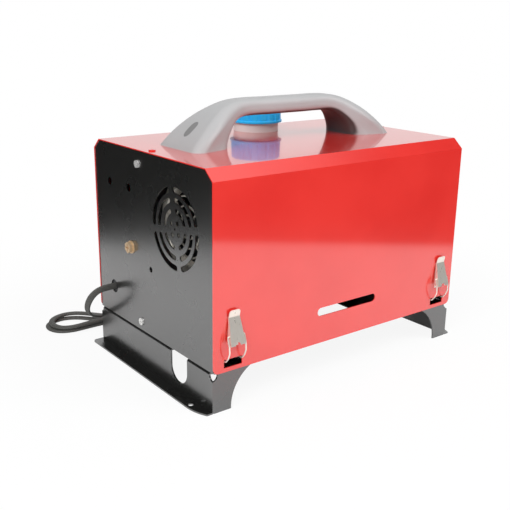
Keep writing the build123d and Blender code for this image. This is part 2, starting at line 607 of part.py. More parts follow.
def latch_lever(end, face):
    """One folded lever: web, finger tab and two side walls with pivot holes."""
    outside, hollow = lever_form(end, face, 0), lever_form(end, face, LEVER_SHEET)
    back = LEVER_SHEET
    with BuildPart() as lever:
        with BuildSketch(latch_plane(end, face)) as tab:
            with BuildLine():
                Polyline(
                    LEVER_BEND, LEVER_TIP, (LEVER_TIP[0] - back, LEVER_TIP[1]),
                    (LEVER_BEND[0] - back, LEVER_BEND[1]), close=True,
                )
            make_face()
        extrude(tab.sketch, amount=LEVER_TOP_HALF_WIDTH, both=True)
        tip = latch_point(end, face, 0, 0, LEVER_TIP[1])
        with BuildSketch(Plane(origin=tip, x_dir=(1, 0, 0), z_dir=(0, -1, 0))) as front:
            RectangleRounded(2 * LEVER_TOP_HALF_WIDTH, 20, 3.5, align=(Align.CENTER, Align.MAX))
        extrude(front.sketch, amount=20, both=True, mode=Mode.INTERSECT)
        add(outside.part)
        add(hollow.part, mode=Mode.SUBTRACT)
        notch_at = latch_point(end, face, 0, LEVER_BOTTOM[0] - 2, LEVER_BOTTOM[1])
        with Locations(facing(notch_at, (0, face, 0))):
            Cylinder(LEVER_NOTCH_R, 6, mode=Mode.SUBTRACT)
        for place, radius in ((LEVER_PIVOT, PIVOT_PIN_R + SEAT_GAP), (BAIL_PIVOT, BAIL_WIRE_R + 0.08)):
            with Locations(latch_point(end, face, 0, *place)):
                Cylinder(radius, 4 * LEVER_HALF_WIDTH, rotation=(0, 90, 0), mode=Mode.SUBTRACT)
    return lever


def latch_bail(end, face):
    """One bent wire: its ends turn in the lever, its cross bar hooks the pan wall."""
    half = BAIL_HALF_WIDTH
    bow = (BAIL_PIVOT, *BAIL_BOW, (-HOOK_DEPTH, HOOK_Z), (-HOOK_DEPTH, HOOK_Z + HOOK_RISE))
    leg = [(half, *place) for place in bow]
    wire = [(8.0, *BAIL_PIVOT), *leg]
    route = [(-across, off, z) for across, off, z in wire] + wire[::-1]
    points = [latch_point(end, face, *place) for place in route]
    bends = [1.2, 12.0, 8.0, 8.0, 2.0, 1.0, 1.0]
    with BuildPart() as bail:
        with BuildLine() as path:
            FilletPolyline(*points, radius=bends + bends[::-1])
        with BuildSketch(Plane(origin=points[0], z_dir=(-1, 0, 0))) as section:
            Circle(BAIL_WIRE_R)
        sweep(section.sketch, path=path.line)
    return bail


for corner, (end, face) in CORNERS.items():
    save(latch_lever(end, face), f"latch_lever_{corner}")
    save(latch_bail(end, face), f"latch_bail_{corner}")

# ================================================================ fuel tank and cap
TANK_LEFT = -HALF_L + TANK_FROM_LEFT
TANK_RIGHT = LATCH_X - 20
TANK_TOP = CASE_TOP - 29
TANK_EDGE_R = 12.0
NECK_TOP = CASE_TOP + 30
THREAD_R = NECK_R + 1.2
CAP_GAP = 0.3
CAP_BOTTOM = CASE_TOP + COLLAR_HEIGHT + CAP_GAP
CAP_LID = 5.0
SPIGOT_Z = PAN_TOP + 12.3
SPIGOT_R = 3.0

with BuildPart() as fuel_tank:
    tank_size = (TANK_RIGHT - TANK_LEFT, TANK_BACK - TANK_FRONT, TANK_TOP - PAN_TOP)
    tank_middle = ((TANK_LEFT + TANK_RIGHT) / 2, (TANK_FRONT + TANK_BACK) / 2, (PAN_TOP + TANK_TOP) / 2)
    with Locations(tank_middle):
        Box(*tank_size)
    fillet(fuel_tank.edges().filter_by(Axis.Z), radius=TANK_EDGE_R)
    fillet(fuel_tank.faces().sort_by(Axis.Z)[-1].edges(), radius=TANK_EDGE_R / 2)
    with Locations((CAP_X, CAP_Y, TANK_TOP - TANK_WALL)):
        Cylinder(NECK_R, NECK_TOP - TANK_TOP + TANK_WALL, align=STANDING)
    with Locations((CAP_X, CAP_Y, NECK_TOP - 11)):
        Cylinder(THREAD_R, 8, align=STANDING)
    with Locations(facing((TANK_LEFT + 2, CAP_Y, SPIGOT_Z), (-1, 0, 0))):
        Cylinder(SPIGOT_R, 14, align=STANDING)
    with Locations(tank_middle):
        Box(*[side - 2 * TANK_WALL for side in tank_size], mode=Mode.SUBTRACT)
    with Locations((CAP_X, CAP_Y, TANK_TOP - 2 * TANK_WALL)):
        Cylinder(NECK_R - NECK_WALL, NECK_TOP, align=STANDING, mode=Mode.SUBTRACT)
    with Locations(facing((TANK_LEFT + 10, CAP_Y, SPIGOT_Z), (-1, 0, 0))):
        Cylinder(SPIGOT_R - 1.2, 40, align=STANDING, mode=Mode.SUBTRACT)
save(fuel_tank, "fuel_tank")

with BuildPart() as tank_straps:
    for x in (TANK_LEFT + 45, TANK_RIGHT - 30):
        with BuildSketch(Plane.YZ.offset(x)):
            with Locations(((TANK_FRONT + TANK_BACK) / 2, PAN_TOP)):
                Rectangle(tank_size[1] + 2.6, tank_size[2] + 1.3, align=(Align.CENTER, Align.MIN))
                Rectangle(
                    tank_size[1] + 0.6, tank_size[2] + 0.3,
                    align=(Align.CENTER, Align.MIN), mode=Mode.SUBTRACT,
                )
            with Locations((TANK_FRONT - 1.3, PAN_TOP)):
                Rectangle(9, 1, align=(Align.MAX, Align.MIN))
        extrude(amount=16)
save(tank_straps, "tank_straps")

with BuildPart() as filler_collar:
    with Locations((CAP_X, CAP_Y, CASE_TOP)):
        Cylinder(COLLAR_R, COLLAR_HEIGHT, align=STANDING)
        Cylinder(NECK_R + FIT_GAP, COLLAR_HEIGHT, align=STANDING, mode=Mode.SUBTRACT)
    fillet(filler_collar.edges().group_by(Axis.Z)[-1].sort_by(SortBy.RADIUS)[-1], radius=1.2)
save(filler_collar, "filler_collar")

with BuildPart() as cap_seal:
    with Locations((CAP_X, CAP_Y, NECK_TOP + CAP_GAP)):
        Cylinder(THREAD_R - 0.4, CAP_BOTTOM + CAP_HEIGHT - CAP_LID - NECK_TOP - 2 * CAP_GAP, align=STANDING)
save(cap_seal, "cap_seal")

with BuildPart() as fuel_cap:
    with BuildSketch(Plane.XZ):
        with BuildLine():
            top = CAP_HEIGHT
            Polyline(
                (0, 0), (CAP_BRIM_R, 0), (CAP_BRIM_R, 2.2), (CAP_R, 3.4), (CAP_R - 0.6, top - 1.5),
                (CAP_R - 2.1, top), (CAP_R - 8, top), (CAP_R - 9, top - 1), (0, top - 1), close=True,
            )
        make_face()
    revolve(axis=Axis.Z)
    Cylinder(THREAD_R + CAP_GAP, top - CAP_LID, align=STANDING, mode=Mode.SUBTRACT)
    with Locations((0, 0, 3.4)):
        with PolarLocations(CAP_R + 1.9, CAP_FLUTES):
            Cylinder(3.5, CAP_HEIGHT, align=STANDING, mode=Mode.SUBTRACT)
fuel_cap.part = Pos(CAP_X, CAP_Y, CAP_BOTTOM) * fuel_cap.part
save(fuel_cap, "fuel_cap")

# ================================================================ fuel pump line
PUMP_X = -PLATE_IN + 24
PUMP_R, PUMP_LOW, PUMP_HIGH = 15.0, 122.0, 186.0
CLAMP_WALL, CLAMP_HEIGHT = 3.0, 18.0
FILTER_R, FILTER_LENGTH = 11.0, 42.0
FILTER_RIGHT = TANK_LEFT - 16
HOSE_R, HOSE_BORE = 2.6, 1.2
BURNER_FEED_X = JACKET_LEFT + 90

with BuildPart() as fuel_pump:
    with Locations((PUMP_X, PUMP_Y, PUMP_LOW)):
        Cylinder(PUMP_R, PUMP_HIGH - PUMP_LOW, align=STANDING)
    fillet(fuel_pump.edges().filter_by(GeomType.CIRCLE), radius=2)
    with Locations((PUMP_X, PUMP_Y, PUMP_LOW - 10)):
        Cylinder(5, PUMP_HIGH - PUMP_LOW + 20, align=STANDING)
save(fuel_pump, "fuel_pump")

with BuildPart() as pump_clamp:
    with Locations((PUMP_X, PUMP_Y, PUMP_BOLT_Z)):
        Cylinder(PUMP_R + FIT_GAP + CLAMP_WALL, CLAMP_HEIGHT)
    with Locations((-PLATE_IN, (PUMP_Y + PUMP_BOLT_Y) / 2, PUMP_BOLT_Z)):
        Box(8, 22, CLAMP_HEIGHT, align=(Align.MIN, Align.CENTER, Align.CENTER))
    with Locations((PUMP_X, PUMP_Y, PUMP_BOLT_Z)):
        Cylinder(PUMP_R + FIT_GAP, CLAMP_HEIGHT, mode=Mode.SUBTRACT)
    with Locations((-PLATE_IN, PUMP_BOLT_Y, PUMP_BOLT_Z)):
        Cylinder(PUMP_BOLT_R + SEAT_GAP, 16, rotation=(0, 90, 0), mode=Mode.SUBTRACT)
save(pump_clamp, "pump_clamp")

with BuildPart() as pump_bolt:
    with Locations(facing((-PLATE_OUT, PUMP_BOLT_Y, PUMP_BOLT_Z), (-1, 0, 0))):
        Cylinder(8.2, PUMP_BOLT_WASHER, align=STANDING)
        Cylinder(PUMP_BOLT_R, PLATE_SHEET + 4.6, align=HANGING)
    with BuildSketch(Plane(facing((-PLATE_OUT - PUMP_BOLT_WASHER, PUMP_BOLT_Y, PUMP_BOLT_Z), (-1, 0, 0)))):
        RegularPolygon(7.3, 6)
    extrude(amount=PUMP_BOLT_HEAD)
    for size in ((3, 9, 1.5), (3, 1.5, 9)):
        with Locations((-PLATE_OUT - PUMP_BOLT_WASHER - PUMP_BOLT_HEAD, PUMP_BOLT_Y, PUMP_BOLT_Z)):
            Box(*size, mode=Mode.SUBTRACT)
save(pump_bolt, "pump_bolt")

with BuildPart() as fuel_filter:
    with Locations(facing((FILTER_RIGHT, CAP_Y, SPIGOT_Z), (-1, 0, 0))):
        Cylinder(FILTER_R, FILTER_LENGTH, align=STANDING)
    fillet(fuel_filter.edges().filter_by(GeomType.CIRCLE), radius=3)
    with Locations(facing((FILTER_RIGHT + 3.7, CAP_Y, SPIGOT_Z), (-1, 0, 0))):
        Cylinder(SPIGOT_R, FILTER_LENGTH + 8, align=STANDING)
save(fuel_filter, "fuel_filter")

feed_routes = (
    [
        (FILTER_RIGHT - FILTER_LENGTH - 4.6, CAP_Y, SPIGOT_Z), (PUMP_X, CAP_Y, SPIGOT_Z),
        (PUMP_X, PUMP_Y, SPIGOT_Z), (PUMP_X, PUMP_Y, PUMP_LOW - 10.3),
    ],
    [
        (PUMP_X, PUMP_Y, PUMP_HIGH + 10.3), (PUMP_X, PUMP_Y, PUMP_HIGH + 24),
        (WIRE_HOLE[0], PUMP_Y, PUMP_HIGH + 24), (WIRE_HOLE[0], PUMP_Y, WIRE_HOLE[1]),
        (WIRE_HOLE[0], HEATER_Y, WIRE_HOLE[1]), (BURNER_FEED_X, HEATER_Y, WIRE_HOLE[1]),
        (BURNER_FEED_X, HEATER_Y, HEATER_Z - 44.4),
    ],
)
with BuildPart() as fuel_lines:
    for route, heading in zip(feed_routes, ((-1, 0, 0), (0, 0, 1))):
        with BuildLine() as path:
            FilletPolyline(*route, radius=6.5)
        with BuildSketch(Plane(origin=route[0], z_dir=heading)) as section:
            Circle(HOSE_R)
            Circle(HOSE_BORE, mode=Mode.SUBTRACT)
        sweep(section.sketch, path=path.line)
save(fuel_lines, "fuel_lines")

# ================================================================ heater unit
FOOT_HALF_Y = 26.0
FOOT_Z = HEATER_Z - JACKET_R - 12
FOOT_MIDDLE = (FOOT_LEFT + FOOT_RIGHT) / 2
EXHAUST_X, INTAKE_X, PIPE_R, PIPE_WALL = FOOT_MIDDLE + 20, FOOT_MIDDLE - 20, 12.0, 1.2
PIPE_END_Z, PIPE_GRIP = 15.0, 25.0                  # a hose slides up to the bead
stud_points = [(FOOT_MIDDLE + x, HEATER_Y + y) for x in (-31, 31) for y in (-20, 20)]
port_points = [(EXHAUST_X, HEATER_Y), (INTAKE_X, HEATER_Y)]


def along_x(x):
    """A place on the heater's axis at x, its own Z along +X."""
    return facing((x, HEATER_Y, HEATER_Z), (1, 0, 0))


def jacket_half(side):
    """One moulded half shell round the heater; side is 1 above and -1 below."""
    with BuildPart() as shell:
        with BuildSketch(Plane.YZ.offset(JACKET_LEFT)) as ring:
            with Locations((HEATER_Y, HEATER_Z)):
                Circle(JACKET_R)
                Circle(JACKET_R - JACKET_WALL, mode=Mode.SUBTRACT)
            with Locations((HEATER_Y, HEATER_Z + side * 0.15)):
                keep = Align.MAX if side > 0 else Align.MIN
                Rectangle(3 * JACKET_R, 2 * JACKET_R, align=(Align.CENTER, keep), mode=Mode.SUBTRACT)
        extrude(ring.sketch, amount=JACKET_LENGTH)
        if side < 0:
            with Locations((FOOT_MIDDLE, HEATER_Y, HEATER_Z - JACKET_R)):
                Box(FOOT_RIGHT - FOOT_LEFT + 1, 2 * FOOT_HALF_Y + 1, 30, mode=Mode.SUBTRACT)
            with Locations((BURNER_FEED_X, HEATER_Y, HEATER_Z - JACKET_R)):
                Cylinder(HOSE_R + 0.5, 20, mode=Mode.SUBTRACT)
    return shell


save(jacket_half(1), "jacket_upper")
save(jacket_half(-1), "jacket_lower")

FAN_X = JACKET_LEFT + 22
FAN_R, FAN_HUB_R, FAN_BLADES = 40.0, 13.0, 11
SHAFT_R = 3.0
MOTOR_LEFT, MOTOR_LENGTH, MOTOR_R = FAN_X + 14, 40.0, 28.0
HOUSING_LEFT, HOUSING_LENGTH, HOUSING_R = JACKET_LEFT + 80, 28.0, 44.0
EXCHANGER_LEFT, EXCHANGER_LENGTH, EXCHANGER_R = JACKET_LEFT + 110, 165.0, 40.0
FIN_TIP_R, FIN_COUNT = JACKET_R - JACKET_WALL - 2, 24

GUARD_WIRE_R = 1.1

with BuildPart() as inlet_ring:
    with BuildSketch(Plane.XY):
        with BuildLine():
            rim = JACKET_R - JACKET_WALL - FIT_GAP
            Polyline(
                (rim, -2), (rim, 8), (rim - 2.5, 8), (rim - 2.5, 3), (FAN_R + 2, 5), (FAN_R + 5, -2),
                close=True,
            )
        make_face()
    revolve(axis=Axis.Y)

with BuildPart() as inlet_guard:
    add(Location((JACKET_LEFT, HEATER_Y, HEATER_Z), (0, 0, -90)) * inlet_ring.part)
    with Locations(along_x(JACKET_LEFT - 1.6)):
        for radius in (14, 25, 36, 47):
            Torus(radius, GUARD_WIRE_R)
    for quarter in range(4):
        quarter_turn = Location((0, 0, 0), (0, 0, 45 + 90 * quarter))
        arm = along_x(JACKET_LEFT - 1.6) * quarter_turn * Location((34, 0, 0))
        with Locations(arm):
            Box(43, 2, 2.4)
save(inlet_guard, "inlet_guard")

with BuildPart() as fan_impeller:
    with Locations(along_x(FAN_X)):
        Cylinder(FAN_HUB_R, 16)
    for blade in range(FAN_BLADES):
        turn = Location((0, 0, 0), (0, 0, 360 * blade / FAN_BLADES))
        pitch = Location(((FAN_R + FAN_HUB_R) / 2 - 1, 0, 0), (38, 0, 0))
        with Locations(along_x(FAN_X) * turn * pitch):
            Box(FAN_R - FAN_HUB_R + 2, 1.8, 15)
    with Locations(along_x(FAN_X)):
        Cylinder(SHAFT_R + SEAT_GAP, 40, mode=Mode.SUBTRACT)
save(fan_impeller, "fan_impeller")

with BuildPart() as motor_shaft:
    with Locations(along_x(FAN_X - 10)):
        Cylinder(SHAFT_R, HOUSING_LEFT + 20 - FAN_X, align=STANDING)
save(motor_shaft, "motor_shaft")

with BuildPart() as blower_motor:
    with Locations(along_x(MOTOR_LEFT)):
        Cylinder(MOTOR_R, MOTOR_LENGTH, align=STANDING)
    fillet(blower_motor.edges().filter_by(GeomType.CIRCLE), radius=3)
    for angle in (60, 180, 300):
        arm_turn = Location((0, 0, 0), (0, 0, angle))
        arm = along_x(MOTOR_LEFT + MOTOR_LENGTH - 7) * arm_turn * Location((40.5, 0, 0))
        with Locations(arm):
            Box(31, 5, 8)
    with Locations(along_x(MOTOR_LEFT - 1)):
        Cylinder(SHAFT_R + 0.08, MOTOR_LENGTH + 2, align=STANDING, mode=Mode.SUBTRACT)
save(blower_motor, "blower_motor")

with BuildPart() as combustion_housing:
    with Locations(along_x(HOUSING_LEFT)):
        Cylinder(HOUSING_R, HOUSING_LENGTH, align=STANDING)
    with Locations(along_x(HOUSING_LEFT + 3)):
        Cylinder(HOUSING_R - 3, HOUSING_LENGTH, align=STANDING, mode=Mode.SUBTRACT)
    with Locations(along_x(HOUSING_LEFT)):
        Cylinder(SHAFT_R + 0.08, 20, mode=Mode.SUBTRACT)
save(combustion_housing, "combustion_housing")

with BuildPart() as combustion_impeller:
    with Locations(along_x(HOUSING_LEFT + 8)):
        Cylinder(34, 2, align=STANDING)
        Cylinder(8, 10, align=STANDING)
    for blade in range(12):
        blade_turn = Location((0, 0, 0), (0, 0, 30 * blade + 7))
        arm = along_x(HOUSING_LEFT + 9) * blade_turn * Location((19.9, 0, 3.8))
        with Locations(arm):
            Box(25.4, 1.8, 7.6)
    with Locations(along_x(HOUSING_LEFT + 8)):
        Cylinder(SHAFT_R + SEAT_GAP, 40, mode=Mode.SUBTRACT)
save(combustion_impeller, "combustion_impeller")

with BuildPart() as heat_exchanger:
    with Locations(along_x(EXCHANGER_LEFT)):
        Cylinder(EXCHANGER_R, EXCHANGER_LENGTH, align=STANDING)
    for fin in range(FIN_COUNT):
        turn = Location((0, 0, 0), (0, 0, 360 * (fin + 0.5) / FIN_COUNT))
        middle = along_x(EXCHANGER_LEFT + 10 + (EXCHANGER_LENGTH - 10) / 2)
        with Locations(middle * turn * Location(((FIN_TIP_R + 36) / 2, 0, 0))):
            Box(FIN_TIP_R - 36, 2.0, EXCHANGER_LENGTH - 10)
    with Locations(((FOOT_LEFT + FOOT_RIGHT) / 2, HEATER_Y, FOOT_Z)):
        Box(FOOT_RIGHT - FOOT_LEFT, 2 * FOOT_HALF_Y, 40, align=STANDING)
    with Locations(*[(x, y, FOOT_Z) for x, y in stud_points]):
        Cylinder(2.9, STAND_SHEET + 8, align=HANGING)
    with Locations((EXCHANGER_LEFT + 14, HEATER_Y, HEATER_Z + EXCHANGER_R - 4)):
        Cylinder(7, 13, align=STANDING)
    with Locations(along_x(EXCHANGER_LEFT - 1)):
        Cylinder(EXCHANGER_R - 4, EXCHANGER_LENGTH - 5, align=STANDING, mode=Mode.SUBTRACT)
    with Locations(*[(x, y, FOOT_Z) for x, y in port_points]):
        Cylinder(PIPE_R - PIPE_WALL, 46, align=STANDING, mode=Mode.SUBTRACT)
    with Locations((EXCHANGER_LEFT + 14, HEATER_Y, HEATER_Z)):
        Cylinder(4 + SEAT_GAP, 80, align=STANDING, mode=Mode.SUBTRACT)
save(heat_exchanger, "heat_exchanger")

with BuildPart() as burner:
    with Locations(along_x(EXCHANGER_LEFT - 1.7)):
        Cylinder(HOUSING_R - 4, 1.5, align=STANDING)
        Cylinder(24, 80, align=STANDING)
    with Locations(along_x(EXCHANGER_LEFT)):
        Cylinder(22.5, 90, align=STANDING, mode=Mode.SUBTRACT)
    with Locations((EXCHANGER_LEFT + 14, HEATER_Y, HEATER_Z + 12)):
        Cylinder(4, 42, align=STANDING)
save(burner, "burner")

with BuildPart() as control_unit:
    with Locations((MOTOR_LEFT + MOTOR_LENGTH / 2 - 4, HEATER_Y, HEATER_Z + MOTOR_R + 0.4)):
        Box(34, 46, 17, align=STANDING)
    fillet(control_unit.edges().filter_by(Axis.Z), radius=3)
save(control_unit, "control_unit")

with BuildPart() as heater_stand:
    stand_top = FOOT_Z
    with BuildSketch(Plane.XZ.offset(-HEATER_Y + STAND_HALF_Y)):
        with BuildLine():
            Polyline(
                (STAND_LEFT - STAND_FOOT, PAN_TOP), (STAND_LEFT + STAND_SHEET, PAN_TOP),
                (STAND_LEFT + STAND_SHEET, stand_top - STAND_SHEET),
                (STAND_RIGHT - STAND_SHEET, stand_top - STAND_SHEET),
                (STAND_RIGHT - STAND_SHEET, PAN_TOP), (STAND_RIGHT + STAND_FOOT, PAN_TOP),
                (STAND_RIGHT + STAND_FOOT, PAN_TOP + STAND_SHEET), (STAND_RIGHT, PAN_TOP + STAND_SHEET),
                (STAND_RIGHT, stand_top), (STAND_LEFT, stand_top),
                (STAND_LEFT, PAN_TOP + STAND_SHEET), (STAND_LEFT - STAND_FOOT, PAN_TOP + STAND_SHEET),
                close=True,
            )
        make_face()
    extrude(amount=-2 * STAND_HALF_Y)
    with Locations(*[(x, y, stand_top) for x, y in stud_points]):
        Cylinder(2.9 + HOLE_GAP, 8, mode=Mode.SUBTRACT)
    with Locations(*[(x, y, stand_top) for x, y in port_points]):
        Cylinder(PIPE_R + FIT_GAP, 8, mode=Mode.SUBTRACT)
    with Locations(*[(x, y, PAN_TOP) for x, y in stand_screw_points]):
        Cylinder(BASE_SCREW_R + HOLE_GAP, 8, mode=Mode.SUBTRACT)
save(heater_stand, "heater_stand")

for name, x in (("exhaust_pipe", EXHAUST_X), ("intake_pipe", INTAKE_X)):
    with BuildPart() as pipe:
        with Locations((x, HEATER_Y, PIPE_END_Z)):
            Cylinder(PIPE_R, FOOT_Z - PIPE_END_Z, align=STANDING)
        with Locations((x, HEATER_Y, PIPE_END_Z + PIPE_GRIP)):
            Cylinder(PIPE_R + 1.5, 2.5, align=STANDING)
        with Locations((x, HEATER_Y, PIPE_END_Z)):
            Cylinder(PIPE_R - PIPE_WALL, FOOT_Z, align=STANDING, mode=Mode.SUBTRACT)
    save(pipe, name)

# ================================================================ warm-air outlet
COLLAR_BORE_R = OUTLET_HOSE_R - OUTLET_WALL
SLEEVE_R = COLLAR_BORE_R + 1.4
NOZZLE_R = COLLAR_BORE_R - 0.4
DUCT_R = OUTLET_HOSE_R + 0.8
SLATS, SLAT_TILT = 5, 35.0

with BuildPart() as outlet_duct:
    with BuildSketch(Plane.XY):
        with BuildLine():
            mouth = JACKET_R - JACKET_WALL - FIT_GAP
            start, cone, end = JACKET_RIGHT - 8, JACKET_RIGHT + 30, PLATE_IN - FIT_GAP
            Polyline(
                (mouth, start), (mouth, JACKET_RIGHT), (DUCT_R, cone), (DUCT_R, end),
                (SLEEVE_R + FIT_GAP, end), (SLEEVE_R + FIT_GAP, cone), (mouth - 1.5, JACKET_RIGHT),
                (mouth - 1.5, start), close=True,
            )
        make_face()
    revolve(axis=Axis.Y)
outlet_duct.part = Location((0, HEATER_Y, HEATER_Z), (0, 0, -90)) * outlet_duct.part
save(outlet_duct, "outlet_duct")

with BuildPart() as outlet_collar:
    with Locations(along_x(PLATE_OUT)):
        Cylinder(OUTLET_FLANGE_R, 2, align=STANDING)
        Cylinder(OUTLET_HOSE_R, END_STAND_OFF, align=STANDING)
    with Locations(along_x(PLATE_IN - 14)):
        Cylinder(SLEEVE_R, 16, align=STANDING)
    with Locations(along_x(0)):
        Cylinder(COLLAR_BORE_R, CASE_LENGTH, align=STANDING, mode=Mode.SUBTRACT)
    for y, z in outlet_screw_points:
        with Locations(facing((PLATE_OUT + 2, y, z), (1, 0, 0))):
            Cylinder(3, 1.6, align=STANDING)
            Cylinder(1.5, 2 + PLATE_SHEET + 3, align=HANGING)
save(outlet_collar, "outlet_collar")

with BuildPart() as outlet_nozzle:
    inside = NOZZLE_R - 2.2
    with Locations(along_x(PLATE_OUT + 0.5)):
        Cylinder(inside + 0.5, END_STAND_OFF - 2, align=STANDING)
    for slat in range(SLATS + 1):
        gap_z = HEATER_Z + (slat - SLATS / 2) * 15
        with Locations(Location((PLATE_OUT + END_STAND_OFF / 2, HEATER_Y, gap_z), (0, SLAT_TILT, 0))):
            Box(60, 3 * NOZZLE_R, 15 * math.cos(math.radians(SLAT_TILT)) - 2.0, mode=Mode.SUBTRACT)
    with BuildSketch(Plane(along_x(PLATE_OUT + 0.5))):
        Circle(NOZZLE_R)
        Circle(inside, mode=Mode.SUBTRACT)
    extrude(amount=END_STAND_OFF - 0.5)
save(outlet_nozzle, "outlet_nozzle")

# ================================================================ control panel
PANEL_STAND = 5.0
PANEL_DEPTH = 14.0
LENS_WIDTH, LENS_HEIGHT, LENS_RISE = 50.0, 26.0, 11.0
BUTTON_R, BUTTON_GAP, BUTTON_TRAVEL, BUTTON_PROUD = 4.6, 0.4, 1.2, 2.2
BUTTON_DROP, BUTTON_PITCH = 19.0, 18.0
BUTTONS = ("power", "down", "up", "set")
PANEL_FACE = PLATE_OUT + PANEL_STAND
BUTTON_FLOOR = PLATE_OUT + 0.9
button_ys = {name: PANEL_Y + (index - 1.5) * BUTTON_PITCH for index, name in enumerate(BUTTONS)}

with BuildPart() as control_panel:
    with BuildSketch(Plane.YZ.offset(PLATE_OUT)):
        with Locations((PANEL_Y, PANEL_Z)):
            RectangleRounded(PANEL_WIDTH, PANEL_HEIGHT, 6)
    extrude(amount=PANEL_STAND)
    chamfer(control_panel.faces().sort_by(Axis.X)[-1].edges(), length=1.5)
    with BuildSketch(Plane.YZ.offset(PLATE_OUT)):
        with Locations((PANEL_Y, PANEL_Z)):
            RectangleRounded(PANEL_WIDTH - 12.8, PANEL_HEIGHT - 12.8, 3)
    extrude(amount=-PANEL_DEPTH)
    with Locations((PANEL_FACE, PANEL_Y, PANEL_Z + LENS_RISE)):
        Box(3, LENS_WIDTH, LENS_HEIGHT, mode=Mode.SUBTRACT)
    with Locations(*[(BUTTON_FLOOR, y, PANEL_Z - BUTTON_DROP) for y in button_ys.values()]):
        Cylinder(BUTTON_R + BUTTON_GAP, 10, rotation=(0, 90, 0), align=STANDING, mode=Mode.SUBTRACT)
save(control_panel, "control_panel")

with BuildPart() as display_lens:
    with Locations((PANEL_FACE - 1.5, PANEL_Y, PANEL_Z + LENS_RISE)):
        Box(1.3, LENS_WIDTH - 0.4, LENS_HEIGHT - 0.4, align=(Align.MIN, Align.CENTER, Align.CENTER))
save(display_lens, "display_lens")

for name, y in button_ys.items():
    with BuildPart() as button:
        with Locations(facing((BUTTON_FLOOR + BUTTON_TRAVEL + 0.4, y, PANEL_Z - BUTTON_DROP), (1, 0, 0))):
            height = PANEL_FACE + BUTTON_PROUD - BUTTON_FLOOR - BUTTON_TRAVEL - 0.4
            Cylinder(BUTTON_R, height, align=STANDING)
        fillet(button.edges().filter_by(GeomType.CIRCLE).sort_by(Axis.X)[-1], radius=1)
    save(button, f"button_{name}")

# ================================================================ power lead
CORD_Y, CORD_Z = CORD_HOLE[0], CORD_HOLE[1]
CLIP_DEPTH, CLIP_WIDTH, CLIP_HEIGHT = 10.0, 24.0, 22.0
LEAD_ROUTE = [
    (-PLATE_IN, CORD_Y, CORD_Z), (-211.0, CORD_Y, CORD_Z), (-222.5, 95.7, 86.7), (-230.6, 99.8, 78.8),
    (-233.0, 107.3, 67.0), (-229.5, 118.5, 53.5), (-219.0, 132.0, 41.0), (-204.0, 147.0, 30.5),
    (-183.0, 159.5, 22.5), (-163.0, 165.5, 19.0),
]
HANK_TIE = (-160.0, 174.0)
HANK_HEADING = 150.0                               # degrees, from the tie to the loops that show
HANK_TURNS = 2
HANK_STEPS = 24                                    # points to a turn
HANK_LOOPS = ((91.0, 50.0, -1.0), (95.0, 46.0, -5.0))   # reach, half width, lean of each loop that shows
HANK_BACK = (78.0, 42.0)                           # reach and half width behind the object
HANK_GAP = 0.7                                     # between strands that lie on each other
HANK_PITCH = CORD_D + HANK_GAP
HANK_WAIST = 2.0                                   # strands run straight through the tie, outside this
TIE_SHEET, TIE_WIDTH, TIE_GAP = 0.6, 4.0, 0.5
HANK_BASE = CORD_D / 2 + TIE_SHEET + TIE_GAP + 0.05
TAIL = [(-131.0, 169.5, HANK_BASE), (-112.0, 174.5, HANK_BASE), (-93.0, 182.0, HANK_BASE)]
PLUG_LENGTH, PLUG_WIDTH, PLUG_HEIGHT = 26.0, 16.0, 7.6


def tangent_radii(points):
    """The largest tangent arc at each inner point: 0.45 of its shorter run."""
    radii = []
    for before, here, after in zip(points, points[1:], points[2:]):
        run_in, run_out = Vector(here) - Vector(before), Vector(after) - Vector(here)
        turn = math.radians(run_in.get_angle(run_out))
        radii.append(0.45 * min(run_in.length, run_out.length) / math.tan(turn / 2))
    return radii


def cord_tube(points):
    """A round tube along straight runs joined by tangent arcs."""
    radii = tangent_radii(points)
    with BuildPart() as tube:
        with BuildLine() as path:
            FilletPolyline(*points, radius=radii)
        with BuildSketch(Plane(origin=points[0], z_dir=Vector(points[1]) - Vector(points[0]))) as section:
            Circle(CORD_D / 2)
        sweep(section.sketch, path=path.line)
    length = sum(edge.length for edge in path.edges())
    share = tube.part.volume / (math.pi * CORD_D**2 / 4 * length)
    print(f"cord tube: length {length:.1f}, volume share {share:.4f}, least radius {min(radii):.1f}")
    return tube


def hank_plan(turns):
    """Where the hank's strand is from above, along and across from the tie."""
    phase = 2 * math.pi * turns + math.pi / 2
    whole = min(int(turns), HANK_TURNS - 1)
    along, across = math.cos(phase), math.sin(phase)
    reach, half_width, lean = HANK_LOOPS[whole] if along > 0 else (*HANK_BACK, 0.0)
    swell = math.sin(math.pi / 2 * along) ** 2
    return reach * along, across * (HANK_WAIST + (half_width - HANK_WAIST) * swell) + lean * swell


def hank_point(turns):
    """A point of the hank after so many turns, each of which starts at the tie and goes behind first."""
    out, off = hank_plan(turns)
    sunk = min(max(4 * (turns - int(turns)) - 1, 0), 1)
    layer = max(HANK_TURNS - int(turns) - sunk, 0)
    heading = math.radians(HANK_HEADING)
    x = HANK_TIE[0] + out * math.cos(heading) + off * math.sin(heading)
    y = HANK_TIE[1] + out * math.sin(heading) - off * math.cos(heading)
    return (x, y, HANK_BASE + HANK_PITCH * layer)


def least_self_gap(points, skip):
    """The least gap of a tube to itself, leaving out pairs of points closer than skip along it."""
    fine, travelled = [], 0.0
    for here, after in zip(points, points[1:]):
        run = Vector(after) - Vector(here)
        fine += [(travelled + run.length * k / 8, Vector(here) + run * (k / 8)) for k in range(8)]
        travelled += run.length
    apart = [(q - p).length for i, (s, p) in enumerate(fine) for t, q in fine[i + 1:] if t - s > skip]
    return min(apart) - CORD_D


